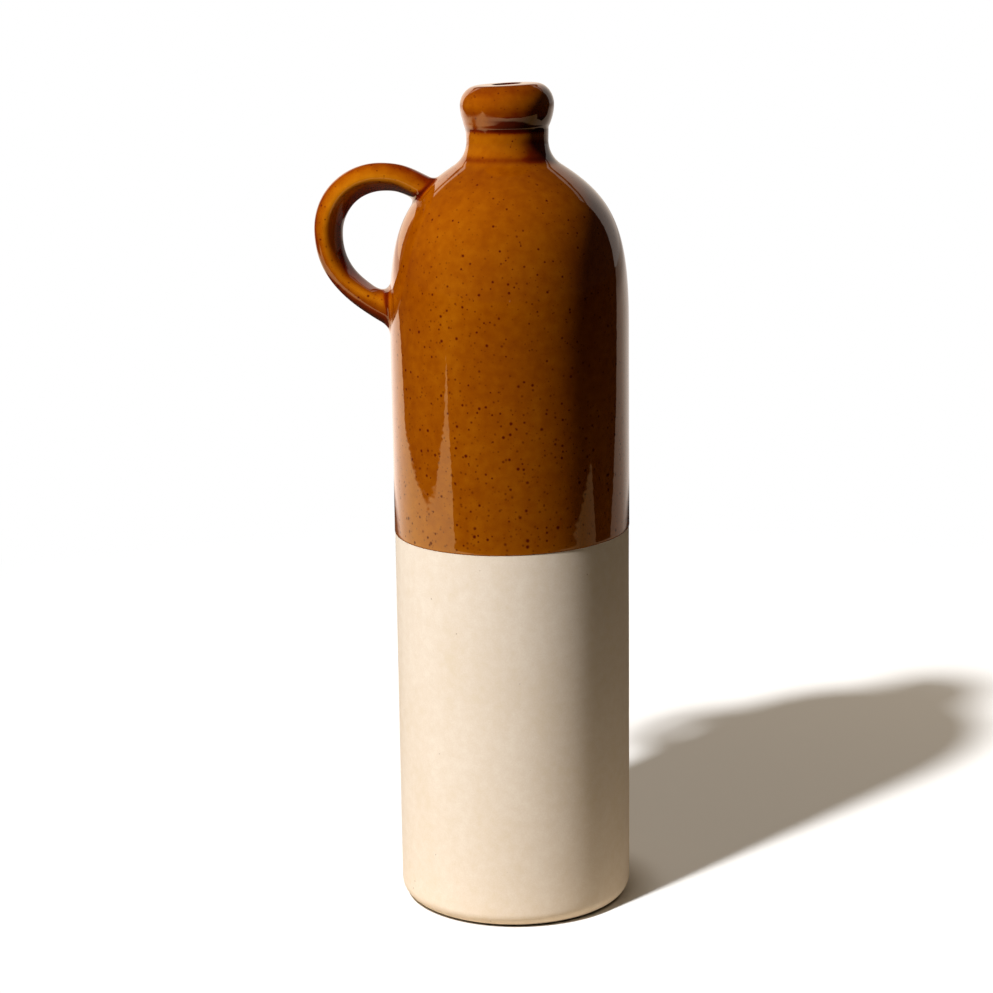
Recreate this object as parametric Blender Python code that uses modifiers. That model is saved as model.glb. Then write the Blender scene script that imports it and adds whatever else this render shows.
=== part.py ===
# Two-tone stoneware growler, in metres, +Z up, standing on the middle of its foot.
# A straight body carries a domed shoulder, a short neck and a rolled lip, with a finger
# loop at -X. The pieces are luted: each drops over an upstand of the piece below it.
# An amber glaze coats the upper half, the loop and the mouth, and a liner coats the inside.

import math

import bmesh
import bpy
from mathutils import Vector
from mathutils.geometry import interpolate_bezier

# Body and base, measured on the bare clay
BODY_RADIUS = 0.0438
BODY_HEIGHT = 0.2190  # from the foot to the spring of the shoulder
WALL = 0.0055
BASE_THICKNESS = 0.0085
FOOT_ROUND = 0.0040

# Shoulder: it leaves the wall upright and reaches the neck at a slope
SHOULDER_RISE = 0.0590
SHOULDER_SLOPE = math.radians(34.5)
SHOULDER_SPRING = 0.0377  # length of the curve's pull along the wall
SHOULDER_CROWN = 0.0210  # length of the curve's pull along the slope

# Neck and rolled lip
NECK_RADIUS = 0.0146
NECK_RISE = 0.0105
NECK_FILLET = 0.0095
NECK_WALL = 0.0045
LIP_OVERHANG = 0.0021  # how far the lip's widest part stands out from the neck
LIP_INROLL = 0.0044  # how far the lip rolls in over the neck's bore, to the mouth
LIP_RISE = 0.0174
LIP_BULGE_RISE = 0.0099  # height of the widest part above the neck
LIP_OUTER_ROUND = 0.0048  # from the widest part in to the flat crest
LIP_INNER_ROUND = 0.0016  # from the crest down to the mouth
MOUTH_LENGTH = 0.0058  # from the crest down to the throat
THROAT_RISE = 0.0042  # height of the throat, where the bore narrows to the mouth

# Finger loop, along its centre line
LOOP_HALF_THICKNESS = 0.0052
LOOP_HALF_WIDTH = 0.0070
LOOP_END_HALF_THICKNESS = 0.0039  # at the lower root, where the loop is drawn thinnest
LOOP_STANDOFF = 0.0219  # from the body's wall to the far side
LOOP_TOP_STANDOFF = 0.0020  # from the body's wall to the highest point
LOOP_RISE = 0.0047  # from the upper root to the highest point
LOOP_DROP = 0.0199  # from the highest point down to the far side
UPPER_ROOT_DROP = 0.0087  # below the seam of the neck
UPPER_ROOT_SLOPE = math.radians(27)
LOWER_ROOT_RISE = 0.0056
LOWER_ROOT_SLOPE = math.radians(29)
UPPER_ROOT_PULL = 0.0070  # lengths of the curve's pulls, from root to root
TOP_INNER_PULL = 0.0066
TOP_OUTER_PULL = 0.0114
FAR_UPPER_PULL = 0.0112
FAR_LOWER_PULL = 0.0130
LOWER_ROOT_PULL = 0.0174
ROOT_DEPTH = 0.0080  # run of the loop inside the body, before it is trimmed

# Clay worked in round each root of the loop
LUTING_FLARE = 0.0040
LUTING_EDGE = 0.0005
LUTING_RINGS = 3

# Joints between the clay pieces
SLIP = 0.0003
UPSTAND = 0.0020

# Glaze
GLAZE = 0.00035
GLAZE_GAP = 0.00015
DIP_HEIGHT = 0.1432
DIP_TILT_SIDE = math.radians(1.0)  # the dip line is higher at +X
DIP_TILT_BACK = math.radians(1.2)  # and higher at +Y
MOUTH_DEPTH = 0.0120  # reach of the outer glaze into the mouth

# Fineness of the facets
TURN_STEPS = 32
SHOULDER_STEPS = 7
FILLET_STEPS = 4
LIP_STEPS = 4
LOOP_STEPS = (5, 8, 11)
SECTION_SIDES = 12
SHARP_ANGLE = math.radians(35)
WELD = 0.000001

# Places worked out from the sizes
NECK_SEAM = BODY_HEIGHT + SHOULDER_RISE
LIP_SEAM = NECK_SEAM + NECK_RISE
RIM = LIP_SEAM + LIP_RISE
INNER_RADIUS = BODY_RADIUS - WALL
BORE_RADIUS = NECK_RADIUS - NECK_WALL
MOUTH_RADIUS = BORE_RADIUS - LIP_INROLL
LIP_RADIUS = NECK_RADIUS + LIP_OVERHANG
LIP_CREST_RADIUS = LIP_RADIUS - LIP_OUTER_ROUND
FLOOR = BASE_THICKNESS + UPSTAND
NECK_FOOT_RADIUS = NECK_RADIUS + NECK_FILLET * (1 - math.sin(SHOULDER_SLOPE))
MOUTH_SEAM = RIM - MOUTH_DEPTH
DIP_SWING = (BODY_RADIUS + GLAZE_GAP + GLAZE) * (math.tan(DIP_TILT_SIDE) + math.tan(DIP_TILT_BACK))


# Outlines: (radius, height) points, running from the mouth over the lip and down


def curve(start, start_pull, end_pull, end, steps):
    """Points of a cubic curve that leaves and arrives along its pulls."""
    return interpolate_bezier(start, start + start_pull, end + end_pull, end, steps + 1)


def ellipse(centre, half_width, half_height, first, last, steps):
    """Points of an elliptical arc between two angles in degrees."""
    angles = [math.radians(first + (last - first) * i / steps) for i in range(steps + 1)]
    return [centre + Vector((half_width * math.cos(a), half_height * math.sin(a))) for a in angles]


def lip_outline():
    """The throat, the mouth, the flat crest, the bulge and the swept underside of the lip."""
    bulge = LIP_SEAM + LIP_BULGE_RISE
    throat = RIM - MOUTH_LENGTH
    bore = [Vector((BORE_RADIUS, throat - THROAT_RISE)), Vector((MOUTH_RADIUS, throat))]
    inner = ellipse(
        Vector((MOUTH_RADIUS + LIP_INNER_ROUND, RIM - LIP_INNER_ROUND)),
        LIP_INNER_ROUND, LIP_INNER_ROUND, 180, 90, LIP_STEPS - 1,
    )
    outer = ellipse(
        Vector((LIP_CREST_RADIUS, bulge)), LIP_OUTER_ROUND, RIM - bulge, 90, 0, LIP_STEPS + 1,
    )
    pull = Vector((0, LIP_BULGE_RISE / 3))
    underside = curve(Vector((LIP_RADIUS, bulge)), -pull, pull, Vector((NECK_RADIUS, LIP_SEAM)), LIP_STEPS)
    return bore + inner + outer + underside[1:]


def neck_outline():
    """The straight neck and the hollow fillet at its foot."""
    end_angle = 270 - math.degrees(SHOULDER_SLOPE)
    centre = Vector((NECK_RADIUS + NECK_FILLET, NECK_SEAM + NECK_FILLET * math.cos(SHOULDER_SLOPE)))
    fillet = ellipse(centre, NECK_FILLET, NECK_FILLET, 180, end_angle, FILLET_STEPS)
    return [Vector((NECK_RADIUS, LIP_SEAM))] + fillet


def shoulder_outline():
    """The dome from the foot of the neck to the wall."""
    slope = Vector((math.cos(SHOULDER_SLOPE), -math.sin(SHOULDER_SLOPE)))
    return curve(
        Vector((NECK_FOOT_RADIUS, NECK_SEAM)), slope * SHOULDER_CROWN,
        Vector((0, SHOULDER_SPRING)), Vector((BODY_RADIUS, BODY_HEIGHT)), SHOULDER_STEPS,
    )


def dome_lining():
    """The inside of the dome, one wall in from the outside, with its meeting with the bore."""
    dome = offset(shoulder_outline(), -WALL)
    meeting = dome[0].y + (dome[0].x - BORE_RADIUS) * math.tan(SHOULDER_SLOPE)
    return [Vector((BORE_RADIUS, meeting))] + dome


def offset(outline, distance):
    """The outline moved sideways, outwards where the distance is positive."""
    runs = [(b - a).normalized() for a, b in zip(outline, outline[1:])]
    normals = [Vector((-run.y, run.x)) for run in runs]
    moved = []
    for point, before, after in zip(outline, normals[:1] + normals, normals + normals[-1:]):
        mitre = (before + after).normalized()
        moved.append(point + mitre * (distance / mitre.dot(after)))
    return moved


def radius_at(outline, height):
    """Radius of a falling outline at a height."""
    for upper, lower in zip(outline, outline[1:]):
        if lower.y <= height <= upper.y:
            return upper.lerp(lower, (upper.y - height) / (upper.y - lower.y)).x
    return outline[-1].x


def upstand_top(inner, outer, seam):
    """Top of a piece that the next piece drops over, from its bore to its outside."""
    step = (inner + outer - SLIP) / 2
    return [Vector((inner, seam + UPSTAND)), Vector((step, seam + UPSTAND)), Vector((step, seam)),
            Vector((outer, seam))]


def rebated_foot(inner, outer, seam, outline):
    """Underside of a piece that drops over an upstand, from its outline to its bore."""
    step = (inner + outer + SLIP) / 2
    low = seam + SLIP
    return [Vector((radius_at(outline, low), low)), Vector((step, low)), Vector((step, low + UPSTAND)),
            Vector((inner, low + UPSTAND))]


# Objects


def collection(name):
    made = bpy.data.collections.new(name)
    bpy.context.scene.collection.children.link(made)
    return made


def material(name, colour, roughness):
    made = bpy.data.materials.new(name)
    made.use_nodes = True
    shader = made.node_tree.nodes["Principled BSDF"]
    shader.inputs["Base Color"].default_value = (*colour, 1)
    shader.inputs["Roughness"].default_value = roughness
    made.diffuse_color = (*colour, 1)
    return made


def turned(name, outline):
    """A turned shape. An outline that ends off the axis is closed into a ring."""
    closed = outline[0].x > WELD
    mesh = bpy.data.meshes.new(name)
    edges = [(i, i + 1) for i in range(len(outline) - 1)]
    if closed:
        edges.append((len(outline) - 1, 0))
    mesh.from_pydata([(point.x, 0, point.y) for point in outline], edges, [])
    made = bpy.data.objects.new(name, mesh)
    screw = made.modifiers.new("turn", "SCREW")
    screw.steps = screw.render_steps = TURN_STEPS
    screw.use_merge_vertices = True
    screw.merge_threshold = WELD
    cutters.objects.link(made)
    return made


def swept(name, path, sizes, grow):
    """A rod of oval section along a path in the XZ plane, with a size for each point."""
    path = lengthened(path, grow)
    section = bpy.data.curves.new(name + "_section", "CURVE")
    oval = section.splines.new("POLY")
    oval.points.add(SECTION_SIDES - 1)
    for i, point in enumerate(oval.points):
        turn = 2 * math.pi * i / SECTION_SIDES
        across = (LOOP_HALF_THICKNESS + grow) * math.cos(turn)
        along = (LOOP_HALF_WIDTH + grow) * math.sin(turn)
        point.co = (across, along, 0, 1)
    oval.use_cyclic_u = True
    guide = bpy.data.objects.new(name + "_section", section)
    rod = bpy.data.curves.new(name + "_path", "CURVE")
    rod.dimensions = "3D"
    rod.twist_mode = "Z_UP"
    rod.bevel_mode = "OBJECT"
    rod.bevel_object = guide
    rod.use_fill_caps = True
    line = rod.splines.new("POLY")
    line.points.add(len(path) - 1)
    for point, place, size in zip(line.points, path, sizes):
        point.co = (place.x, place.y, 0, 1)
        point.radius = size
    sweep = bpy.data.objects.new(name + "_path", rod)
    sweep.rotation_euler.x = math.pi / 2
    for obj in (guide, sweep):
        cutters.objects.link(obj)
    mesh = as_mesh(sweep)
    mesh.name = name
    welded = bmesh.new()
    welded.from_mesh(mesh)
    bmesh.ops.remove_doubles(welded, verts=welded.verts, dist=WELD)
    bmesh.ops.recalc_face_normals(welded, faces=welded.faces)
    welded.to_mesh(mesh)
    welded.free()
    made = bpy.data.objects.new(name, mesh)
    made.matrix_world = sweep.matrix_world
    cutters.objects.link(made)
    for obj in (guide, sweep):
        bpy.data.objects.remove(obj)
    return made


def lengthened(path, grow):
    """The path with both ends moved on by the growth of the section."""
    first = path[0] + (path[0] - path[1]).normalized() * grow
    last = path[-1] + (path[-1] - path[-2]).normalized() * grow
    return [first] + path[1:-1] + [last]


def as_mesh(obj):
    """The object's shape with its modifiers applied."""
    bpy.context.view_layer.update()
    graph = bpy.context.evaluated_depsgraph_get()
    return bpy.data.meshes.new_from_object(obj.evaluated_get(graph), depsgraph=graph)


def combine(obj, operation, others):
    for other in others:
        boolean = obj.modifiers.new(operation.lower(), "BOOLEAN")
        boolean.operation = operation
        boolean.object = other


def finish(obj, finish_material):
    """Turns a shape into a part of the bottle, with its modifiers applied."""
    mesh = as_mesh(obj)
    mesh.name = obj.name
    obj.modifiers.clear()
    obj.data = mesh
    mesh.shade_smooth()
    mesh.set_sharp_from_angle(angle=SHARP_ANGLE)
    mesh.materials.clear()
    mesh.materials.append(finish_material)
    cutters.objects.unlink(obj)
    parts.objects.link(obj)
    obj.parent = axis


# Clay pieces of the body


def base_disc():
    seat = INNER_RADIUS - SLIP
    boss = [Vector((0, FLOOR)), Vector((seat, FLOOR)), Vector((seat, BASE_THICKNESS))]
    foot_centre = Vector((BODY_RADIUS - FOOT_ROUND, FOOT_ROUND))
    foot = ellipse(foot_centre, FOOT_ROUND, FOOT_ROUND, 0, -90, FILLET_STEPS)
    rim = [Vector((BODY_RADIUS, BASE_THICKNESS))]
    return turned("base_disc", boss + rim + foot + [Vector((0, 0))])


def body_cylinder():
    foot = BASE_THICKNESS + SLIP
    outline = upstand_top(INNER_RADIUS, BODY_RADIUS, BODY_HEIGHT)
    outline += [Vector((BODY_RADIUS, foot)), Vector((INNER_RADIUS, foot))]
    return turned("body_cylinder", outline)


def shoulder_dome():
    dome = shoulder_outline()
    foot = rebated_foot(INNER_RADIUS, BODY_RADIUS, BODY_HEIGHT, dome)
    inside = [point for point in dome_lining() if point.y > foot[-1].y]
    top = upstand_top(BORE_RADIUS, NECK_FOOT_RADIUS, NECK_SEAM)
    return turned("shoulder_dome", top + dome[1:-1] + foot + inside[::-1])


def neck():
    outside = neck_outline()
    top = upstand_top(BORE_RADIUS, NECK_RADIUS, LIP_SEAM)
    foot = rebated_foot(BORE_RADIUS, NECK_FOOT_RADIUS, NECK_SEAM, outside)
    return turned("neck", top + outside[1:-1] + foot)


def lip_collar():
    roll = lip_outline()
    return turned("lip_collar", roll[:-1] + rebated_foot(BORE_RADIUS, NECK_RADIUS, LIP_SEAM, roll))


def envelope(name, grow, mouth_floor, low):
    """The whole outside of the clay, grown a little, solid below the floor of the mouth."""
    skin = [Vector((BORE_RADIUS, mouth_floor))] + lip_outline() + neck_outline()[1:]
    skin += shoulder_outline()[1:] + [Vector((BODY_RADIUS, low))]
    outline = [Vector((0, mouth_floor))] + offset(skin, grow) + [Vector((0, low))]
    return turned(name, outline)


# Finger loop and the clay worked in at its roots


def loop_path():
    """Centre line of the loop, from the buried upper end to the buried lower end."""
    dome = shoulder_outline()
    upper_height = NECK_SEAM - UPPER_ROOT_DROP
    lower_height = BODY_HEIGHT + LOWER_ROOT_RISE
    upper = Vector((-radius_at(dome, upper_height), upper_height))
    lower = Vector((-radius_at(dome, lower_height), lower_height))
    top = Vector((-BODY_RADIUS - LOOP_TOP_STANDOFF, upper_height + LOOP_RISE))
    far = Vector((-BODY_RADIUS - LOOP_STANDOFF, top.y - LOOP_DROP))
    leaving = Vector((-math.cos(UPPER_ROOT_SLOPE), math.sin(UPPER_ROOT_SLOPE)))
    arriving = Vector((math.cos(LOWER_ROOT_SLOPE), -math.sin(LOWER_ROOT_SLOPE)))
    left = Vector((-1, 0))
    up = Vector((0, 1))
    near_steps, crown_steps, lower_steps = LOOP_STEPS
    near = curve(upper, leaving * UPPER_ROOT_PULL, -left * TOP_INNER_PULL, top, near_steps)
    crown = curve(top, left * TOP_OUTER_PULL, up * FAR_UPPER_PULL, far, crown_steps)
    down = curve(far, -up * FAR_LOWER_PULL, -arriving * LOWER_ROOT_PULL, lower, lower_steps)
    path = near + crown[1:] + down[1:]
    return [upper - leaving * ROOT_DEPTH] + path + [lower + arriving * ROOT_DEPTH]


def loop_sizes(path):
    """Size of the section at each point, drawn thinner towards the lower root."""
    thinnest = LOOP_END_HALF_THICKNESS / LOOP_HALF_THICKNESS
    last = len(path) - 1
    return [1 + (thinnest - 1) * i / last for i in range(len(path))]


def loop(name, grow):
    path = loop_path()
    return swept(name, path, loop_sizes(path), grow)


def luting(name, at_top, grow):
    """A collar that thickens along the loop towards the body."""
    path = loop_path()
    sizes = loop_sizes(path)
    if not at_top:
        path.reverse()
        sizes.reverse()
    count = LUTING_RINGS + 2
    flared = []
    for i, size in enumerate(sizes[:count]):
        share = min(1, (count - 1 - i) / LUTING_RINGS)
        thickness = LUTING_EDGE + (LUTING_FLARE - LUTING_EDGE) * share ** 2
        flared.append(size + thickness / LOOP_HALF_THICKNESS)
    return swept(name, path[:count], flared, grow)


# Glaze


def glaze_coat():
    """One skin over the lip, neck, shoulder, loop and upper body, down to the dip line."""
    outside = GLAZE_GAP + GLAZE
    coat = dipped(envelope("glaze_coat", outside, MOUTH_SEAM - SLIP, DIP_HEIGHT))
    clay = envelope("clay_under_glaze", GLAZE_GAP, MOUTH_SEAM, DIP_HEIGHT - 2 * DIP_SWING)
    for skin, grow in ((coat, outside), (clay, GLAZE_GAP)):
        roots = luting(skin.name + "_upper", True, grow), luting(skin.name + "_lower", False, grow)
        combine(skin, "UNION", [loop(skin.name + "_loop", grow), *roots])
    combine(coat, "DIFFERENCE", [clay])
    return coat


def dipped(skin):
    """The skin with its lower edge tilted to the level that the bottle was dipped to."""
    skin.data = as_mesh(skin)
    skin.modifiers.clear()
    for point in skin.data.vertices:
        if point.co.z < BODY_HEIGHT:
            point.co.z += point.co.x * math.tan(DIP_TILT_SIDE) + point.co.y * math.tan(DIP_TILT_BACK)
    return skin


def liner_glaze():
    """The skin of the cavity, from its floor up to the edge of the outer glaze."""
    clay = [Vector((BORE_RADIUS, MOUTH_SEAM - SLIP))] + dome_lining()
    clay += [Vector((INNER_RADIUS, FLOOR)), Vector((0, FLOOR))]
    back = offset(clay, -GLAZE_GAP)
    face = offset(clay, -GLAZE_GAP - GLAZE)
    return turned("liner_glaze", face[::-1] + back)


# Assembly
for old in list(bpy.data.objects):
    bpy.data.objects.remove(old)
parts = collection("stoneware_growler")
cutters = collection("stoneware_growler_cutters")
axis = bpy.data.objects.new("growler_axis", None)
parts.objects.link(axis)

clay_body = base_disc(), body_cylinder(), shoulder_dome(), neck(), lip_collar()
trim = envelope("clay_and_slip", SLIP, MOUTH_SEAM, BASE_THICKNESS)
bore = loop("loop_and_slip", SLIP)
handle = loop("handle_loop", 0)
combine(handle, "DIFFERENCE", [trim])
roots = luting("handle_upper_joint", True, 0), luting("handle_lower_joint", False, 0)
for root in roots:
    combine(root, "DIFFERENCE", [trim, bore])

for piece in (*clay_body, handle, *roots):
    finish(piece, material(piece.name + "_clay", (0.80, 0.70, 0.55), 0.75))
finish(glaze_coat(), material("amber_glaze", (0.42, 0.12, 0.008), 0.08))
finish(liner_glaze(), material("amber_liner", (0.30, 0.09, 0.010), 0.15))

for cutter in cutters.objects:
    cutter.hide_render = True
    cutter.display_type = "WIRE"
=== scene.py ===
import math

import bmesh
import bpy
import numpy as np
from mathutils import Matrix, Vector
from mathutils.bvhtree import BVHTree


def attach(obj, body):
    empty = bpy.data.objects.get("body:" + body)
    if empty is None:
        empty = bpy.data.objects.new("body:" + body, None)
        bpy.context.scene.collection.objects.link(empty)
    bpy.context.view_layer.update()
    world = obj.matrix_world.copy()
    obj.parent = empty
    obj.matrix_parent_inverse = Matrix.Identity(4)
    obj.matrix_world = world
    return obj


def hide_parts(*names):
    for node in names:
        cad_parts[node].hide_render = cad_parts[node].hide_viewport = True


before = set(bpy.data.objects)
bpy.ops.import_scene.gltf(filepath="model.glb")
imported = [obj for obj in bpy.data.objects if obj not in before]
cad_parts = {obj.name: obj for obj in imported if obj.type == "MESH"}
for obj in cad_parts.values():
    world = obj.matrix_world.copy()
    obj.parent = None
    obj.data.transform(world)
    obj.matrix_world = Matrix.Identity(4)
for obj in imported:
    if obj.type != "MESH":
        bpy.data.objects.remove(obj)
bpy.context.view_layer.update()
mm = 0.001  # sizes below are millimetres, and meshes are metres
print("frame loaded:", len(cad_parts), "nodes")


def linear(code):
    # sRGB hex to the linear values that sockets take
    channels = [int(code[i:i + 2], 16) / 255 for i in (1, 3, 5)]
    return [c / 12.92 if c <= 0.04045 else ((c + 0.055) / 1.055) ** 2.4 for c in channels] + [1.0]


def addNode(tree, kind, settings=None, stops=(), **inputs):
    # an input is a value, an output, or a node, which gives its first output;
    # i0, i1 and so on name an input by its place
    node = tree.nodes.new(kind)
    for key, value in (settings or {}).items():
        setattr(node, key, value)
    if stops:  # places and colours of a colour ramp, in order
        marks = node.color_ramp.elements
        marks[0].position, marks[1].position = stops[0][0], stops[-1][0]
        for place, _ in stops[1:-1]:
            marks.new(place)
        for mark, (_, colour) in zip(marks, stops):
            mark.color = colour
    for key, value in inputs.items():
        place = int(key[1:]) if key[1:].isdigit() else key.replace("_", " ")
        if isinstance(value, bpy.types.Node):
            value = value.outputs[0]
        if isinstance(value, bpy.types.NodeSocket):
            tree.links.new(value, node.inputs[place])
        else:
            node.inputs[place].default_value = value
    return node


def calc(tree, operation, *values):
    inputs = {f"i{place}": value for place, value in enumerate(values)}
    return addNode(tree, "ShaderNodeMath", {"operation": operation}, **inputs)


def mapped(tree, value, start, end, first=0.0, last=1.0, smooth=False):
    # a run from start to end becomes one from first to last, and holds beyond both
    easing = {"interpolation_type": "SMOOTHSTEP"} if smooth else None
    return addNode(tree, "ShaderNodeMapRange", easing, Value=value, i1=start, i2=end, i3=first, i4=last)


def near(tree, value, middle, reach, first=0.0, last=1.0):
    # last up to half the reach from the middle, easing to first at the reach
    apart = calc(tree, "ABSOLUTE", calc(tree, "SUBTRACT", value, middle))
    return mapped(tree, apart, reach, 0.5 * reach, first, last, smooth=True)


def noise(tree, where, size, detail):
    # size in millimetres
    return addNode(tree, "ShaderNodeTexNoise", Vector=where, Scale=1 / (size * mm), Detail=detail)


def mixed(tree, share, first, last):
    return addNode(tree, "ShaderNodeMix", {"data_type": "RGBA"}, i0=share, i6=first, i7=last).outputs[2]


def ramp(tree, value, stops):
    return addNode(tree, "ShaderNodeValToRGB", stops=stops, Fac=value)


def toned(rows):
    return [(place, linear(code)) for place, code in rows]


def grey(level):
    return [level] * 3 + [1.0]


def newMaterial(name):
    material = bpy.data.materials.new(name)
    material.use_nodes = True
    material.node_tree.nodes.clear()
    return material, material.node_tree


# Outlines, as (radius, height) rows

def bezier(start, startPull, endPull, end, steps):
    t = np.linspace(0, 1, steps + 1)[:, None]
    start, end = np.array(start, float), np.array(end, float)
    a, b = start + startPull, end + endPull
    return (1 - t) ** 3 * start + 3 * t * (1 - t) ** 2 * a + 3 * t * t * (1 - t) * b + t ** 3 * end


def arc(centre, halfWidth, halfHeight, first, last, steps):
    turn = np.radians(np.linspace(first, last, steps + 1))
    return np.stack([centre[0] + halfWidth * np.cos(turn), centre[1] + halfHeight * np.sin(turn)], 1)


def straight(start, end, steps):
    return np.linspace(start, end, steps + 1)


def joined(*runs):
    # runs meet end to start, so each drops its first row
    return np.concatenate([runs[0]] + [run[1:] for run in runs[1:]])


def pushed(outline, distance):
    # the outline moved to its left hand side
    run = np.gradient(outline, axis=0)
    side = np.stack([-run[:, 1], run[:, 0]], 1) / np.linalg.norm(run, axis=1)[:, None]
    return outline + side * distance


# Sizes of the pot that several pieces share

pot = dict(
    clayRadius=43.8, glazeRadius=43.95, wall=5.5, footRound=5.6, floor=8.5,
    dipHeight=143.2, dipSide=1.0, dipBack=1.2,   # degrees: higher at +X and at the back
    spring=218.9, springPull=35.7,   # where the shoulder leaves the wall
    crown=(19.6, 277.75), crownSlope=33.1, crownPull=22.5,
    neckWaist=(15.0, 290.7), neckFillet=10.35,
    underlip=(15.7, 292.8), bulge=(17.05, 299.2), crest=(10.5, 306.65), crestRise=0.1,
    # pulls of the curves from the waist to the underlip, on to the bulge, and over the crest
    waistPull=(0, 0.9), hangPulls=((-0.31, -0.8), (0.35, 0.9)), bulgePull=(0, -3.0),
    outerTurn=84.0, crestPulls=((-2.0, 0.21), (2.0, 0)),   # degrees round the outside before the crest
    mouth=5.2, mouthRound=0.7, throat=(300.1, 295.9), bore=9.6, mouthSeam=294.0,
    lipTilt=3.0, lipNod=1.0, lipTiltOuter=0.35,   # degrees up to the right and back, share left at the bulge
    creaseFill=0.34, creaseHeight=291.5, creaseReach=2.6,   # clay left under the lip, on the left
    shelf=206.0, shelfGap=1.0,   # height where the dome sits on the wall
    domeClear=1.5, boreStep=0.5, boreDrop=1.0,   # where the dome's inside meets the bore
    turnSteps=192, wobble=0.10, wobbleLength=46.0, seed=4.0,
)
turnRadius = 5.0  # of the circle that outlines are swept round, inside every outline that is off the axis
weld = 0.001  # rows on the axis become one point
sharpFrom = 50.0  # degrees between faces at a real corner


def shoulderRun(steps):
    slope = math.radians(pot["crownSlope"])
    pull = np.array([math.cos(slope), -math.sin(slope)]) * pot["crownPull"]
    return bezier((pot["glazeRadius"], pot["spring"]), (0, pot["springPull"]), pull, pot["crown"], steps)


def neckRun(steps):
    slope, fillet = pot["crownSlope"], pot["neckFillet"]
    lean = math.radians(slope)
    centre = np.array(pot["crown"]) + fillet * np.array([math.sin(lean), math.cos(lean)])
    foot = arc(centre, fillet, fillet, first=270 - slope, last=180, steps=steps)
    return joined(foot, straight((centre[0] - fillet, centre[1]), pot["neckWaist"], steps=4))


def lipRun(steps):
    waist, hang, bulge, crest = (np.array(pot[key]) for key in ("neckWaist", "underlip", "bulge", "crest"))
    mouth, edge, (throatTop, throatFoot) = pot["mouth"], pot["mouthRound"], pot["throat"]
    # the underside swells out of the neck, hangs steepest half way up and rounds off into the bulge
    arriving, leaving = pot["hangPulls"]
    underside = joined(bezier(waist, pot["waistPull"], arriving, hang, steps),
                       bezier(hang, leaving, pot["bulgePull"], bulge, steps))
    outer = arc((crest[0], bulge[1]), bulge[0] - crest[0], crest[1] - bulge[1],
                first=0, last=pot["outerTurn"], steps=steps)
    rim = (mouth + edge, crest[1] + pot["crestRise"])
    top = bezier(outer[-1], *pot["crestPulls"], rim, steps // 2)  # the crest rises a little to the mouth
    inner = arc((rim[0], rim[1] - edge), edge, edge, first=90, last=180, steps=steps // 2)
    neckBore = np.array([(mouth, throatTop), (pot["bore"], throatFoot), (pot["bore"], pot["mouthSeam"])])
    return joined(underside, outer, top, inner, np.array([inner[-1], *neckBore]))


def cavityRun(depth, steps):
    # the inside, from the mouth down to the shelf, a given depth in from the outside
    dome = pushed(shoulderRun(steps), depth)[::-1]
    dome = dome[dome[:, 0] > pot["bore"] + pot["domeClear"]]
    bore = pot["bore"] + pot["boreStep"] + (pot["wall"] - depth)
    drop = (bore, dome[0][1] + pot["boreDrop"])
    low = (dome[-1][0], pot["shelf"])
    return joined(straight((bore, pot["mouthSeam"]), drop, steps=5), np.array([drop, *dome, low]))


# The rule that the thrown pieces follow: an outline swept round the axis, with the slight swing of a
# hand on the wheel, the lean of the lip and the slant of the dip line

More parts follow.
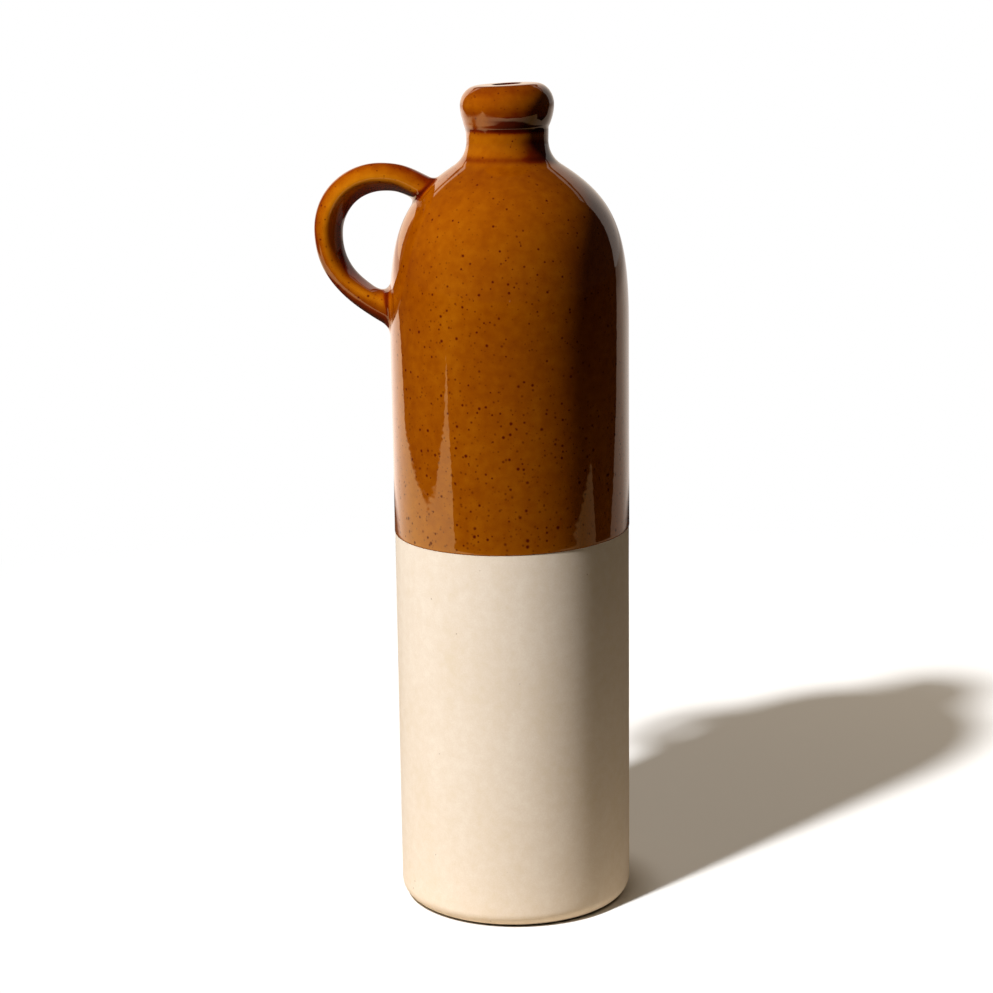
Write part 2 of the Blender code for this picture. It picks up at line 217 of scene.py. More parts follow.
def thrownFormTree():
    tree = bpy.data.node_groups.new("thrownForm", "GeometryNodeTree")
    inputs = [("Outline", "Geometry"), ("Turn Steps", "Int"), ("Turn Radius", "Float"), ("Wobble", "Float"),
              ("Wobble Length", "Float"), ("Seed", "Float"), ("Lip Lean", "Float"), ("Lip Nod", "Float"),
              ("Lip Foot", "Float"), ("Lip Top", "Float"), ("Lip Mouth", "Float"), ("Lip Bulge", "Float"),
              ("Lip Outer Share", "Float"), ("Crease Fill", "Float"), ("Crease Height", "Float"),
              ("Crease Reach", "Float"), ("Dip Side", "Float"), ("Dip Back", "Float"),
              ("Dip Height", "Float"), ("Dip Fade", "Float"), ("Finish", "Material")]
    for name, kind in inputs:
        tree.interface.new_socket(name, in_out="INPUT", socket_type="NodeSocket" + kind)
    tree.interface.new_socket("Form", in_out="OUTPUT", socket_type="NodeSocketGeometry")
    given = addNode(tree, "NodeGroupInput").outputs

    outline = addNode(tree, "GeometryNodeMeshToCurve", i0=given["Outline"])
    circle = addNode(tree, "GeometryNodeCurvePrimitiveCircle", Resolution=given["Turn Steps"],
                     Radius=given["Turn Radius"])
    ring = addNode(tree, "GeometryNodeSetCurveNormal", {"mode": "Z_UP"}, i0=circle)
    wall = addNode(tree, "GeometryNodeCurveToMesh", Curve=ring, Profile_Curve=outline)
    closed = addNode(tree, "GeometryNodeMergeByDistance", Geometry=wall, Distance=weld * mm)

    place = addNode(tree, "GeometryNodeInputPosition")
    axes = addNode(tree, "ShaderNodeSeparateXYZ", i0=place).outputs
    flat = addNode(tree, "ShaderNodeCombineXYZ", X=axes["X"], Y=axes["Y"])
    outward = addNode(tree, "ShaderNodeVectorMath", {"operation": "NORMALIZE"}, i0=flat)
    fineness = calc(tree, "DIVIDE", 1.0, given["Wobble Length"])
    swell = addNode(tree, "ShaderNodeTexNoise", {"noise_dimensions": "4D"}, Vector=place, W=given["Seed"],
                    Scale=fineness, Detail=1.0)
    evenSwell = calc(tree, "MULTIPLY", calc(tree, "SUBTRACT", swell, 0.5), 2.0)  # from -1 to 1
    swing = calc(tree, "MULTIPLY", evenSwell, given["Wobble"])
    creaseGap = calc(tree, "ABSOLUTE", calc(tree, "SUBTRACT", axes["Z"], given["Crease Height"]))
    atCrease = mapped(tree, creaseGap, given["Crease Reach"], 0.0, smooth=True)
    leftward = addNode(tree, "ShaderNodeVectorMath", {"operation": "DOT_PRODUCT"}, i0=outward,
                       i1=(-1.0, 0.0, 0.0))
    onLeft = calc(tree, "MAXIMUM", leftward.outputs["Value"], 0.0)
    filled = calc(tree, "MULTIPLY", atCrease, onLeft)
    swung = calc(tree, "MULTIPLY_ADD", filled, given["Crease Fill"], swing)
    push = addNode(tree, "ShaderNodeVectorMath", {"operation": "SCALE"}, i0=outward, Scale=swung)

    lipShare = mapped(tree, axes["Z"], given["Lip Foot"], given["Lip Top"], smooth=True)
    radius = addNode(tree, "ShaderNodeVectorMath", {"operation": "LENGTH"}, i0=flat).outputs["Value"]
    inward = mapped(tree, radius, given["Lip Mouth"], given["Lip Bulge"], 1.0, given["Lip Outer Share"])
    leaned = calc(tree, "MULTIPLY", lipShare, inward)
    lipSide = calc(tree, "MULTIPLY", axes["X"], given["Lip Lean"])
    lipRise = calc(tree, "MULTIPLY_ADD", axes["Y"], given["Lip Nod"], lipSide)
    lipLift = calc(tree, "MULTIPLY", lipRise, leaned)
    dipShare = mapped(tree, axes["Z"], given["Dip Height"], given["Dip Fade"], 1.0, 0.0)
    side = calc(tree, "MULTIPLY", axes["X"], given["Dip Side"])
    back = calc(tree, "MULTIPLY_ADD", axes["Y"], given["Dip Back"], side)
    lift = calc(tree, "MULTIPLY_ADD", back, dipShare, lipLift)
    raised = addNode(tree, "ShaderNodeCombineXYZ", Z=lift)
    moved = addNode(tree, "ShaderNodeVectorMath", {"operation": "ADD"}, i0=push, i1=raised)

    shaped = addNode(tree, "GeometryNodeSetPosition", Geometry=closed, Offset=moved)
    realised = addNode(tree, "GeometryNodeRealizeInstances", Geometry=shaped)
    finished = addNode(tree, "GeometryNodeSetMaterial", Geometry=realised, Material=given["Finish"])
    addNode(tree, "NodeGroupOutput", Form=finished)
    return tree


def slopeOf(key):
    return math.tan(math.radians(pot[key]))


def setDepth(mesh, depth):
    # how thick the glaze lies, for the glaze's colour, and on the glazed skin painted shade in the throat
    mesh.attributes.new("glazeDepthAndShade", "FLOAT", "POINT").data.foreach_set("value", depth.astype(np.float32))


def thrownPiece(name, outline, depth, finish, isRing, dipped):
    rows = np.column_stack([outline[:, 0] - turnRadius, -outline[:, 1], np.zeros(len(outline))]) * mm
    edges = [(i, i + 1) for i in range(len(rows) - 1)] + ([(len(rows) - 1, 0)] if isRing else [])
    guide = bpy.data.meshes.new(name + "Outline")
    guide.from_pydata(rows.tolist(), edges, [])
    setDepth(guide, depth)
    turning = bpy.data.objects.new(name + "Outline", guide)
    bpy.context.scene.collection.objects.link(turning)
    values = {
        "Turn Steps": pot["turnSteps"], "Turn Radius": turnRadius * mm, "Wobble": pot["wobble"] * mm,
        "Wobble Length": pot["wobbleLength"] * mm, "Seed": pot["seed"],
        "Lip Lean": slopeOf("lipTilt"), "Lip Nod": slopeOf("lipNod"), "Lip Foot": pot["neckWaist"][1] * mm,
        "Lip Top": pot["crest"][1] * mm, "Lip Mouth": pot["mouth"] * mm, "Lip Bulge": pot["bulge"][0] * mm,
        "Lip Outer Share": pot["lipTiltOuter"], "Crease Fill": pot["creaseFill"] * mm,
        "Crease Height": pot["creaseHeight"] * mm, "Crease Reach": pot["creaseReach"] * mm,
        "Dip Side": slopeOf("dipSide") * dipped, "Dip Back": slopeOf("dipBack") * dipped,
        "Dip Height": pot["dipHeight"] * mm, "Dip Fade": pot["spring"] * mm, "Finish": finish,
    }
    modifier = turning.modifiers.new("thrownForm", "NODES")
    modifier.node_group = thrownForm
    for item in thrownForm.interface.items_tree:
        if item.name in values:
            modifier[item.identifier] = values[item.name]
    graph = bpy.context.evaluated_depsgraph_get()
    mesh = bpy.data.meshes.new_from_object(turning.evaluated_get(graph), depsgraph=graph)
    bpy.data.objects.remove(turning)
    return placed(name, mesh)


def placed(name, mesh):
    # a finished piece sits at the origin, with faces outwards and only its real corners sharp
    shell = bmesh.new()
    shell.from_mesh(mesh)
    bmesh.ops.recalc_face_normals(shell, faces=shell.faces)
    shell.to_mesh(mesh)
    shell.free()
    mesh.name = name
    mesh.shade_smooth()
    mesh.set_sharp_from_angle(angle=math.radians(sharpFrom))
    piece = bpy.data.objects.new(name, mesh)
    bpy.context.scene.collection.objects.link(piece)
    print(name, "made:", len(mesh.polygons), "faces")
    return piece


def dress(piece, nodes):
    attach(piece, "root")
    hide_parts(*nodes)


# Honey glaze: an iron glaze over pale clay, dipped and fired to a glassy skin. It is clear amber where
# it is thin, red-brown where it pools in a crease, and iron in the clay bleeds through as dark specks.

glazeLook = dict(
    tones=((0.15, "#a86206"), (0.45, "#884300"), (0.70, "#621a00"), (1.0, "#3a0600")),   # thin to pooled
    # spacing and size in mm, share of the radius that is solid, strength
    stain="#4a0b00", stainCell=2.0, stainRadius=0.80, stainCore=0.1, stainShare=0.68,
    speck="#4a0703", speckCell=2.7, speckRadius=1.0, speckCore=0.32, speckShare=0.95,
    smallest=0.3, specksFrom=160.0, specksTo=285.0, speckFewest=0.62,   # sizes by chance, and by height
    cloudSize=26.0, cloudStretch=0.4, cloudSwing=0.07, mottleSize=3.6, mottleSwing=0.062,
    noiseSpan=(0.25, 0.75), ripple=7.0, peel=2.2, rippleDepth=0.012,
    paintedShadeRight=((292.6, 3.6, -9.5, 0.5, 0.36), (283.5, 5.5, 2.0, 10.0, 0.34)),   # painted shade, darker towards the right: height, reach, from, to, depth
    roughness=0.03, ior=1.62, shine=0.5, pitShine=0.20,
    dullHeight=293.6, dullReach=4.6, dullFrom=-2.0, dullTo=-8.0, dullRoughness=0.18,
)


def honeyGlaze():
    look = glazeLook
    material, tree = newMaterial("honeyGlaze")
    where = addNode(tree, "ShaderNodeTexCoord").outputs["Object"]
    axes = addNode(tree, "ShaderNodeSeparateXYZ", i0=where).outputs
    height = axes["Z"]
    # it ran down, so the clouds are drawn out
    drained = addNode(tree, "ShaderNodeMapping", Vector=where, Scale=(1.0, 1.0, look["cloudStretch"]))
    cloud = noise(tree, drained, look["cloudSize"], detail=2.0)
    mottle = noise(tree, where, look["mottleSize"], detail=3.0)
    cloudy = mapped(tree, cloud, *look["noiseSpan"], -look["cloudSwing"], look["cloudSwing"])
    mottled = mapped(tree, mottle, *look["noiseSpan"], -look["mottleSwing"], look["mottleSwing"])
    depth = addNode(tree, "ShaderNodeAttribute", {"attribute_name": "glazeDepthAndShade"}).outputs["Fac"]
    # painted shade: the glaze is made darker towards the right, under the lip and on the neck, where they lie
    # in shade
    for middle, reach, start, full, amount in look["paintedShadeRight"]:
        drawn = mapped(tree, axes["X"], start * mm, full * mm, 0.0, amount, smooth=True)
        depth = calc(tree, "MULTIPLY_ADD", drawn, near(tree, height, middle * mm, reach * mm), depth)
    thickness = calc(tree, "ADD", depth, calc(tree, "ADD", cloudy, mottled))
    colour = ramp(tree, thickness, toned(look["tones"]))

    # fewer and smaller specks towards the neck, where the glaze ran thin
    share = mapped(tree, height, look["specksFrom"] * mm, look["specksTo"] * mm, 1.0, look["speckFewest"])
    for key in ("stain", "speck"):
        cell = look[key + "Cell"]
        cells = addNode(tree, "ShaderNodeTexVoronoi", Vector=where, Scale=1 / (cell * mm))
        chance = addNode(tree, "ShaderNodeSeparateColor", i0=cells.outputs["Color"]).outputs["Red"]
        size = mapped(tree, chance, 0.0, 1.0, look["smallest"], 1.0)
        radius = calc(tree, "MULTIPLY", size, share)
        reach = calc(tree, "MULTIPLY", radius, look[key + "Radius"] / cell)
        core = calc(tree, "MULTIPLY", reach, look[key + "Core"])
        spot = mapped(tree, cells.outputs["Distance"], reach, core, 0.0, look[key + "Share"], smooth=True)
        colour = mixed(tree, spot, colour, linear(look[key]))
    pitted = mapped(tree, spot, 0.0, 1.0, look["shine"], look["pitShine"])  # iron specks are pits

    # under the lip, on the left, the glaze cooled a little dull
    dullSide = mapped(tree, axes["X"], look["dullFrom"] * mm, look["dullTo"] * mm, look["roughness"],
                      look["dullRoughness"], smooth=True)
    dull = near(tree, height, look["dullHeight"] * mm, look["dullReach"] * mm, look["roughness"], dullSide)
    ripple = noise(tree, where, look["ripple"], detail=1.0)
    peel = noise(tree, where, look["peel"], detail=0.0)
    skin = calc(tree, "ADD", ripple, peel)
    surface = addNode(tree, "ShaderNodeBump", Strength=1.0, Distance=look["rippleDepth"] * mm, Height=skin)
    shader = addNode(tree, "ShaderNodeBsdfPrincipled", Base_Color=colour, Roughness=dull, IOR=look["ior"],
                     Specular_IOR_Level=pitted, Normal=surface)
    addNode(tree, "ShaderNodeOutputMaterial", Surface=shader)
    return material


# Bare stoneware: buff clay fired without glaze, wiped smooth with a sponge. It is matt and slightly
# chalky, with fine grog in the surface and a few iron specks.

clayLook = dict(
    tones=((0.0, "#e5d4bc"), (0.5, "#e9d9c6"), (1.0, "#eee0ce")),
    speck="#8a6540", speckCell=9.0, speckRadius=0.42, speckCore=0.4, speckShare=0.55,
    cloudSize=34.0, mottleSize=3.2, wipeSize=9.0, wipeStretch=0.12,
    cloudShare=0.8, mottleShare=1.3, wipeShare=0.7, grainShare=1.3,   # of each pattern in the colour
    grog=0.55, grogDepth=0.024, roughness=0.86, ior=1.45,
)


def bareStoneware():
    look = clayLook
    material, tree = newMaterial("bareStoneware")
    where = addNode(tree, "ShaderNodeTexCoord").outputs["Object"]
    drawn = addNode(tree, "ShaderNodeMapping", Vector=where, Scale=(1.0, 1.0, look["wipeStretch"]))
    grog = noise(tree, where, look["grog"], detail=3.0)
    patterns = dict(cloudShare=noise(tree, where, look["cloudSize"], detail=2.0),
                    mottleShare=noise(tree, where, look["mottleSize"], detail=4.0),
                    wipeShare=noise(tree, drawn, look["wipeSize"], detail=2.0), grainShare=grog)
    uneven, middle = 0.0, 0.0
    for key, pattern in patterns.items():
        uneven = calc(tree, "MULTIPLY_ADD", pattern, look[key], uneven)
        middle += look[key] / 2
    colour = ramp(tree, mapped(tree, uneven, middle - 0.5, middle + 0.5), toned(look["tones"]))
    cells = addNode(tree, "ShaderNodeTexVoronoi", Vector=where, Scale=1 / (look["speckCell"] * mm))
    reach = look["speckRadius"] / look["speckCell"]
    spot = mapped(tree, cells.outputs["Distance"], reach, reach * look["speckCore"], 0.0, look["speckShare"],
                  smooth=True)
    spotted = mixed(tree, spot, colour, linear(look["speck"]))
    surface = addNode(tree, "ShaderNodeBump", Strength=1.0, Distance=look["grogDepth"] * mm, Height=grog)
    shader = addNode(tree, "ShaderNodeBsdfPrincipled", Base_Color=spotted, Roughness=look["roughness"],
                     IOR=look["ior"], Normal=surface)
    addNode(tree, "ShaderNodeOutputMaterial", Surface=shader)
    return material


# Liner glaze: the same honey glaze poured inside and out again, so it is thicker and less even

linerLook = dict(tones=((0.3, "#54270a"), (0.7, "#8a4a12")), cloudSize=18.0, roughness=0.12, ior=1.6)


def linerGlaze():
    look = linerLook
    material, tree = newMaterial("linerGlaze")
    where = addNode(tree, "ShaderNodeTexCoord").outputs["Object"]
    colour = ramp(tree, noise(tree, where, look["cloudSize"], detail=3.0), toned(look["tones"]))
    shader = addNode(tree, "ShaderNodeBsdfPrincipled", Base_Color=colour, Roughness=look["roughness"],
                     IOR=look["ior"])
    addNode(tree, "ShaderNodeOutputMaterial", Surface=shader)
    return material


thrownForm = thrownFormTree()
glazeFinish, clayFinish, linerFinish = honeyGlaze(), bareStoneware(), linerGlaze()
print("rule and finishes ready")

# Bare body: the wall and its floor, up to the shelf that the dome sits on

clay, inner, footRound = pot["clayRadius"], pot["clayRadius"] - pot["wall"], pot["footRound"]
bodyTop = pot["shelf"] - pot["shelfGap"]
foot = arc((clay - footRound, footRound), footRound, footRound, first=-90, last=0, steps=10)
bodyOutline = joined(
    straight((0, 0), foot[0], steps=8), foot, straight(foot[-1], (clay, bodyTop), steps=60),
    straight((clay, bodyTop), (inner, bodyTop), steps=1),
    straight((inner, bodyTop), (inner, pot["floor"]), steps=12),
    straight((inner, pot["floor"]), (0, pot["floor"]), steps=6),
)
clayBody = thrownPiece("clayBody", bodyOutline, np.zeros(len(bodyOutline)), clayFinish,
                       isRing=False, dipped=0.0)

# Glazed upper part: one skin from the dip line over the shoulder, neck and lip into the mouth

skinLook = dict(
    beadHeight=0.4, beadSwell=0.02, beadRun=4.0,   # the glaze ends in a soft rounded edge
    gap=0.02, lap=20.0,   # off the clay, and how high over the edge the inner face starts
    # how thick the glaze lies by height, thin over the crest
    heights=(143, 146, 170, 215, 262, 270, 276.5, 279, 284, 289, 291, 295, 297, 299.5, 302, 304.5, 307),
    depths=(.36, .44, .46, .475, .45, .465, .52, .44, .37, .37, .56, .58, .60, .45, .45, .54, .52),
    rings=((0.30, 290.7, 0.8), (0.20, 280.4, 1.1)),   # darker in a ring under the lip and in another round the foot of the neck
    # painted shade: the glaze in the throat is set to its darkest, for the shade down the mouth
    throat=1.0, throatShadeReach=0.6,
)

low, glaze, under = pot["dipHeight"], pot["glazeRadius"], pot["clayRadius"] + skinLook["gap"]
rise = skinLook["beadHeight"]
bead = arc((under, low + rise), glaze + skinLook["beadSwell"] - under, rise, first=-90, last=0, steps=6)
settled = (glaze, low + skinLook["beadRun"])
wallRun = joined(bead, straight(bead[-1], settled, steps=4),
                 straight(settled, (glaze, pot["spring"]), steps=26))
outside = joined(wallRun, shoulderRun(steps=56), neckRun(steps=14), lipRun(steps=24))
seat = np.array([(under, pot["shelf"]), (under, low + skinLook["lap"])])
skinOutline = np.concatenate([outside, cavityRun(pot["wall"], steps=20), seat])


def bump(height, centre, reach):
    return np.exp(-((height - centre) / reach) ** 2)


radii, heights = skinOutline.T
skinDepthAndShade = np.interp(heights, skinLook["heights"], skinLook["depths"])
skinDepthAndShade += sum(extra * bump(heights, centre, reach) for extra, centre, reach in skinLook["rings"])
# painted shade down the mouth, as the glaze's darkest
shadedThroat = (radii < pot["mouth"] + skinLook["throatShadeReach"]) & (heights > pot["mouthSeam"])
skinDepthAndShade[shadedThroat] = skinLook["throat"]
amberSkin = thrownPiece("amberSkin", skinOutline, skinDepthAndShade, glazeFinish, isRing=True, dipped=1.0)

# Liner: a thin shell in the cavity

linerSkin = dict(thickness=0.35, gap=0.10)


def linerRun(offset):
    wall, floor = inner - offset, pot["floor"] + offset
    return joined(cavityRun(pot["wall"] + offset, steps=16)[1:],
                  np.array([(wall, pot["shelf"]), (wall, floor), (0, floor)]))


face, back = linerRun(linerSkin["gap"] + linerSkin["thickness"]), linerRun(linerSkin["gap"])
linerOutline = np.concatenate([face[::-1], back])
innerLiner = thrownPiece("innerLiner", linerOutline, np.zeros(len(linerOutline)), linerFinish,
                         isRing=False, dipped=0.0)

# Finger loop: a strap of clay pulled by hand, bent over and worked into the pot at both roots

loop = dict(
    upperRoot=(-31.5, 269.8), upperSlope=26.6, upperPull=6.0,
    top=(-45.8, 273.95), topInner=6.6, topOuter=11.4,
    far=(-65.7, 254.05), farUpper=11.2, farLower=13.0,
    lowerRoot=(-43.5, 224.6), lowerSlope=29.0, lowerPull=17.4,
    buried=7.0, search=60,   # run inside the pot at each root, and rows there that may cross the surface
    shares=(0.0, 0.12, 0.25, 0.42, 0.58, 0.76, 0.90, 1.0),
    thickness=(10.1, 10.4, 11.0, 11.0, 9.8, 8.7, 9.1, 9.8),
    width=(14.8, 14.8, 14.6, 14.0, 13.6, 13.4, 13.8, 14.2),
    twist=(14.0, 19.0, 25.0, 29.0, 29.0, 22.0, 9.0, 4.0),   # degrees
    easing=9,   # rows that the three above are averaged over
    sides=64, sectionPower=(2.2, 3.0), rings=110, blendRings=24,   # the outside is rounder than the inside
    blendOuter=(2.6, 4.2), blendInner=(3.6, 8.0), blendSide=2.6,   # reach of the worked clay
    tuck=0.9, sink=0.22,   # the last ring goes a little further and under the glaze
    ridgeDepth=0.22, flankDepth=0.70, landDepth=0.46, ridgeTurn=-52.0,
    drained=(-0.04, -0.09, -0.13, -0.05, 0.04, 0.10, 0.08, 0.04),   # the glaze ran down it from the top
    # upper and lower root: how far along the blend and how wide, outside and inside, depth, share outside
    creasePlace=((0.4, 0.5), (0.3, 0.55)), creaseWidth=((0.20, 0.42), (0.13, 0.13)),
    creaseDepth=(1.05, 0.82), creaseOuter=(0.45, 0.9),
)


def loopLine():
    upper, lower = math.radians(loop["upperSlope"]), math.radians(loop["lowerSlope"])
    leaving = np.array([-math.cos(upper), math.sin(upper)])
    arriving = np.array([math.cos(lower), -math.sin(lower)])
    start, end = np.array(loop["upperRoot"]), np.array(loop["lowerRoot"])
    line = joined(
        bezier(start, leaving * loop["upperPull"], (loop["topInner"], 0), loop["top"], steps=24),
        bezier(loop["top"], (-loop["topOuter"], 0), (0, loop["farUpper"]), loop["far"], steps=40),
        bezier(loop["far"], (0, -loop["farLower"]), -arriving * loop["lowerPull"], end, steps=52),
    )
    before = straight(start - leaving * loop["buried"], start, steps=12)
    after = straight(end, end + arriving * loop["buried"], steps=12)
    return joined(before, line, after)


def eased(share, key):
    # a size along the loop, averaged over a few rows
    rows = loop["easing"]
    return np.convolve(np.pad(np.interp(share, loop["shares"], loop[key]), rows // 2, mode="edge"),
                       np.ones(rows) / rows, "valid")


def loopGrid(across, beside, power):
    # rows along the strap and columns round it, from end to end, with the ends inside the pot
    line = loopLine()
    run = np.gradient(line, axis=0)
    along = np.concatenate([[0], np.cumsum(np.linalg.norm(np.diff(line, axis=0), axis=1))])
    share = np.clip((along - loop["buried"]) / (along[-1] - 2 * loop["buried"]), 0, 1)
    normal = np.stack([-run[:, 1], run[:, 0]], 1) / np.linalg.norm(run, axis=1)[:, None]
    half, wide = (eased(share, key)[:, None] / 2 for key in ("thickness", "width"))
    twist = np.radians(eased(share, "twist"))[:, None]
    dual = power / (power - 1)
    # thinned by as much as the twist adds to the thickness as seen
    thin = (half ** dual - (wide * np.sin(twist)) ** dual) ** (1 / dual) / np.cos(twist)
    depthWise = thin * np.cos(twist) * across + wide * np.sin(twist) * beside
    grid = np.zeros((len(line), len(across), 3))
    grid[:, :, 0] = line[:, :1] + normal[:, :1] * depthWise
    grid[:, :, 2] = line[:, 1:] + normal[:, 1:] * depthWise
    grid[:, :, 1] = wide * np.cos(twist) * beside - thin * np.sin(twist) * across
    return grid


def loopRoots(grid, across, surface):
    # for each column at both roots: the row where the blend starts, the corner that it rounds off,
    # where it lands on the pot and where it is tucked under
    def nearest(point):
        spot, facing = surface.find_nearest(Vector(point * mm))[:2]
        return np.array(spot) / mm, np.array(facing)

    def above(point):
        spot, facing = nearest(point)
        return float((point - spot) @ facing)

    rootAxis = [np.array([x, 0, z]) for x, z in (loop["upperRoot"], loop["lowerRoot"])]
    starts, corners, lands, tucks = [], [], [], []
    for j, outwards in enumerate(across):
        for root, rows in ((0, grid[:, j]), (1, grid[::-1, j])):
            flat = loop["blendInner" if outwards > 0 else "blendOuter"][root]
            reach = loop["blendSide"] + (flat - loop["blendSide"]) * outwards ** 2
            heights = [above(p) for p in rows[:loop["search"]]]
            i = next(k for k in range(1, loop["search"]) if heights[k] > 0 and heights[k - 1] <= 0)
            split = heights[i - 1] / (heights[i - 1] - heights[i])
            corner = rows[i - 1] + (rows[i] - rows[i - 1]) * split
            travelled = np.linalg.norm(np.diff(np.vstack([corner, rows[i:]]), axis=0), axis=1).cumsum()
            starts.append(i - 1 + np.interp(reach, travelled, np.arange(len(travelled)) + 1.0))
            facing = nearest(corner)[1]
            out = corner - rootAxis[root]
            out -= facing * (out @ facing)
            out /= np.linalg.norm(out)
            far, farFacing = nearest(corner + out * (reach + loop["tuck"]))
            corners.append(corner)
            lands.append(nearest(corner + out * reach)[0])
            tucks.append(far - farFacing * loop["sink"])
    shape = (len(across), 2)
    places = [np.array(rows).reshape(*shape, 3) for rows in (corners, lands, tucks)]
    return np.array(starts).reshape(shape), *places


def fingerLoopMesh(surface):
    sides = loop["sides"]
    turn = np.linspace(0, 2 * np.pi, sides, endpoint=False)
    # the section is squarer than an ellipse, and the strap is twisted so that its inner face shows in front
    power = np.where(np.cos(turn) > 0, loop["sectionPower"][1], loop["sectionPower"][0])
    across, beside = (np.sign(row) * np.abs(row) ** (2 / power) for row in (np.cos(turn), np.sin(turn)))
    grid = loopGrid(across, beside, power)
    starts, corners, lands, tucks = loopRoots(grid, across, surface)

    # the glaze breaks thin along the two ridges
    onRidge = np.cos(turn - math.radians(loop["ridgeTurn"])) ** 2
    broken = loop["flankDepth"] + (loop["ridgeDepth"] - loop["flankDepth"]) * onRidge ** 2
    index, last = np.arange(len(grid), dtype=float), len(grid) - 1
    rings, depths = [], []
    for k in range(loop["rings"] + 1):
        spots = starts[:, 0] + (last - starts[:, 1] - starts[:, 0]) * k / loop["rings"]
        rings.append(np.stack([[np.interp(spots[j], index, grid[:, j, c]) for c in range(3)]
                               for j in range(sides)]))
        depths.append(broken + np.interp(k / loop["rings"], loop["shares"], loop["drained"]))

    inside = np.maximum(across, 0) ** 2
    roots = []
    for root, first in ((0, rings[0]), (1, rings[-1])):
        outer = loop["creaseOuter"][root]
        width, place = (ends[0] + (ends[1] - ends[0]) * inside
                        for ends in (loop["creaseWidth"][root], loop["creasePlace"][root]))
        blend = []
        for m in range(1, loop["blendRings"] + 1):
            t = m / loop["blendRings"]
            ring = (1 - t) ** 2 * first + 2 * t * (1 - t) * corners[:, root] + t * t * lands[:, root]
            crease = bump(t, place, width) * (outer + (1 - outer) * (across + 1) / 2)
            base = depths[-root] + (loop["landDepth"] - depths[-root]) * t
            blend.append((ring, base + (loop["creaseDepth"][root] - base) * crease))
        blend.append((tucks[:, root], np.full(sides, loop["landDepth"])))
        roots.append(blend)

    ordered = roots[0][::-1] + list(zip(rings, depths)) + roots[1]
    ends = [ordered[0][0].mean(0)[None], ordered[-1][0].mean(0)[None]]
    points = np.concatenate([ring for ring, _ in ordered] + ends)
    depth = np.concatenate([values for _, values in ordered] + [[loop["landDepth"]] * 2])
    top, following = (len(ordered) - 1) * sides, [(j + 1) % sides for j in range(sides)]
    faces = [(r + j, r + following[j], r + sides + following[j], r + sides + j)
             for r in range(0, top, sides) for j in range(sides)]
    faces += [(len(points) - 2, following[j], j) for j in range(sides)]
    faces += [(len(points) - 1, top + j, top + following[j]) for j in range(sides)]
    mesh = bpy.data.meshes.new("fingerLoop")
    mesh.from_pydata((points * mm).tolist(), [], faces)
    setDepth(mesh, depth)
    mesh.materials.append(glazeFinish)
    return mesh


skinSurface = BVHTree.FromObject(amberSkin, bpy.context.evaluated_depsgraph_get())
fingerLoop = placed("fingerLoop", fingerLoopMesh(skinSurface))

dress(clayBody, ["base_disc", "body_cylinder"])
dress(amberSkin, ["glaze_coat", "shoulder_dome", "neck", "lip_collar"])
dress(fingerLoop, ["handle_loop", "handle_upper_joint", "handle_lower_joint"])
dress(innerLiner, ["liner_glaze"])
print("pieces dressed")

# Stage: white paper under small lamps at the front left, with the room dark towards the camera

